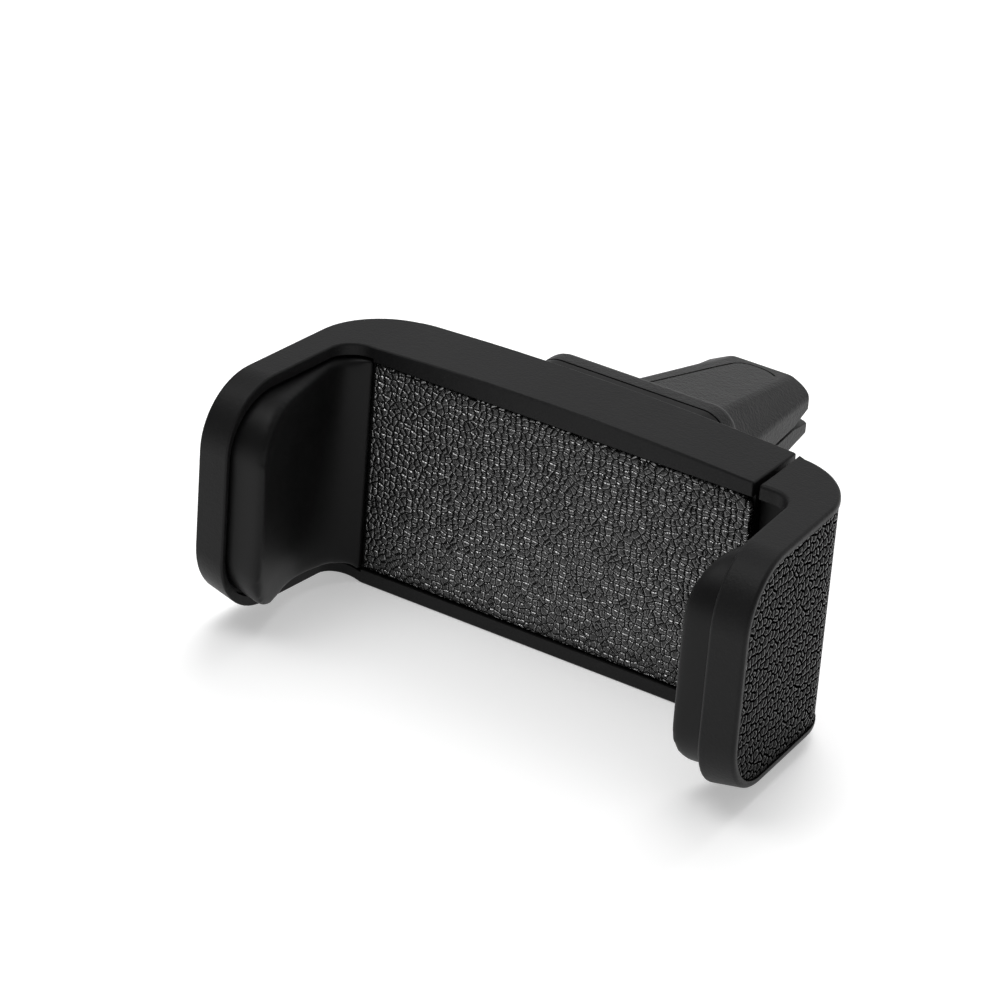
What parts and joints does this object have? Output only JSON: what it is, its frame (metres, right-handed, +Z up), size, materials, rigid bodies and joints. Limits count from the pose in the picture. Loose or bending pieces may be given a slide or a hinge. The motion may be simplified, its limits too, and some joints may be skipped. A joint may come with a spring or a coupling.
{
  "type": "car phone holder",
  "caption": "Clamp for a phone with a sprung sliding jaw, a leather-faced bed and a swivelling rubber clip for a car's air vent.",
  "frame": {"origin": "on the resting face under the bed, straight under the swivel's axis", "axes": "+X along the bed towards the sliding jaw, +Y from the phone's side towards the vent, +Z up, off the resting face"},
  "size_m": [0.0827, 0.0796, 0.0369],
  "materials": {
    "shell_plastic": "fine matt grain",
    "jaw_plastic": "fine matt grain",
    "slide_plastic": "smooth moulded",
    "plate_plastic": "moulded",
    "bed_leather": "black pebbled leather",
    "inlay_leather": "black pebbled leather",
    "pad_rubber": "satin, smooth",
    "clip_rubber": "fine spark-eroded grain",
    "spring_steel": "bright drawn wire",
    "screw_steel": "zinc plated"
  },
  "bodies": {
    "clamp": {"housing": "shell_plastic", "front_plate": "plate_plastic", "front_plate_screws": "screw_steel", "leather_panel": "bed_leather", "fixed_jaw_pad": "pad_rubber", "upper_spring": "spring_steel", "lower_spring": "spring_steel"},
    "slide": {"slider": "slide_plastic", "sliding_jaw": "jaw_plastic", "slider_screws": "screw_steel", "sliding_jaw_pad": "pad_rubber", "jaw_leather_inlay": "inlay_leather"},
    "clip": {"swivel_plate": "slide_plastic", "swivel_washer": "screw_steel", "friction_washer": "spring_steel", "swivel_screw": "screw_steel", "clip_screws": "screw_steel", "vent_clip": "clip_rubber"}
  },
  "joints": [
    {"name": "jaw_slide", "type": "slide", "parent": "clamp", "child": "slide", "axis": [1, 0, 0], "range_m": [0, 0.026], "stiffness_N_per_m": 120, "springref_m": -0.03, "deforming": ["upper_spring", "lower_spring"]},
    {"name": "clip_swivel", "type": "hinge", "parent": "clamp", "child": "clip", "pos_m": [0, 0, 0.018], "axis": [0, 1, 0], "continuous": true}
  ]
}
